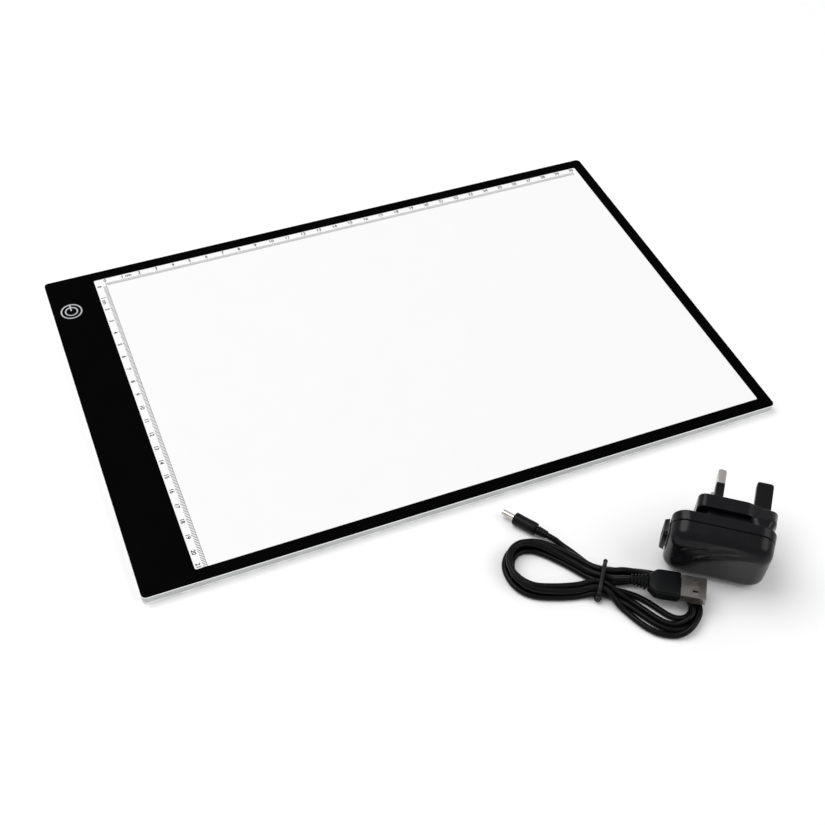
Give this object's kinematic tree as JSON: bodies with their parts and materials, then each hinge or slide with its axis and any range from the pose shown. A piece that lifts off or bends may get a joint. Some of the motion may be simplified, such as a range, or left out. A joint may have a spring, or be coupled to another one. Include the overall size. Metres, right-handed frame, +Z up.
{
  "type": "light box",
  "caption": "Flat edge-lit tracing pad with a black border, centimetre rulers and a touch control strip, with its coiled supply lead and plug-in power adapter.",
  "frame": {"origin": "centre of the pad's flat underside, on the table that it lies on", "axes": "+X along the pad's long side, away from the control strip; +Y to the pad's back edge; +Z up, out of the lit window"},
  "size_m": [0.343, 0.335, 0.0392],
  "materials": {
    "white_cover": "fine matt moulded",
    "reflector": "matt white film",
    "acrylic": "clear sheet with sawn and polished edge",
    "diffuser": "matt film",
    "lit_window": "satin white, lit from behind",
    "black_print": "satin black",
    "circuit_board": "solder mask",
    "led": "moulded package",
    "chip": "moulded",
    "ferrite": "sintered",
    "ceramic": "fired",
    "copper": "bright",
    "steel": "plated sheet",
    "nickel": "bright nickel plate",
    "cord_rubber": "satin cable jacket",
    "tie": "smooth",
    "plug_rubber": "satin moulded",
    "black_plastic": "satin moulded",
    "adapter_plastic": "satin gloss moulded",
    "white_plastic": "moulded",
    "tape": "polyester tape",
    "red_wire": "insulation"
  },
  "bodies": {
    "pad": {"back_cover": "white_cover", "reflector_sheet": "reflector", "light_guide": "acrylic", "diffuser_sheet": "diffuser", "top_sheet": "lit_window", "border_overlay": "black_print", "led_board": "white_plastic", "led_01": "led", "led_02": "led", "led_03": "led", "led_04": "led", "led_05": "led", "led_06": "led", "led_07": "led", "led_08": "led", "led_09": "led", "led_10": "led", "led_11": "led", "led_12": "led", "led_13": "led", "led_14": "led", "led_15": "led", "led_16": "led", "control_board": "circuit_board", "touch_controller_ic": "chip", "led_driver_ic": "chip", "boost_inductor": "ferrite", "smoothing_capacitor": "ceramic", "touch_electrode": "copper", "touch_spring": "copper", "led_lead_positive": "red_wire", "led_lead_negative": "cord_rubber", "dc_jack_housing": "black_plastic", "dc_jack_pin": "nickel"},
    "lead": {"cable_hank": "cord_rubber", "cable_tie": "tie", "cable_lead_dc": "cord_rubber", "cable_lead_usb": "cord_rubber", "dc_plug_relief": "plug_rubber", "dc_plug_grip": "plug_rubber", "dc_plug_barrel": "nickel", "dc_plug_liner": "black_plastic", "usb_plug_relief": "plug_rubber", "usb_plug_grip": "plug_rubber", "usb_plug_shell": "steel", "usb_plug_tongue": "white_plastic"},
    "adapter": {"adapter_front_shell": "adapter_plastic", "adapter_rear_shell": "adapter_plastic", "adapter_line_pin": "nickel", "adapter_neutral_pin": "nickel", "adapter_line_sleeve": "black_plastic", "adapter_neutral_sleeve": "black_plastic", "adapter_earth_pin": "black_plastic", "adapter_usb_surround": "adapter_plastic", "adapter_usb_shell": "steel", "adapter_usb_tongue": "white_plastic", "adapter_board": "circuit_board", "adapter_transformer": "tape", "adapter_capacitor": "chip"}
  },
  "joints": [
    {"name": "lead_lift", "type": "slide", "parent": "pad", "child": "lead", "axis": [-0.4255, -0.5647, 0.7071], "range_m": [0, 0.06]},
    {"name": "adapter_lift", "type": "slide", "parent": "pad", "child": "adapter", "axis": [0, 0, 1], "range_m": [0, 0.08]}
  ]
}
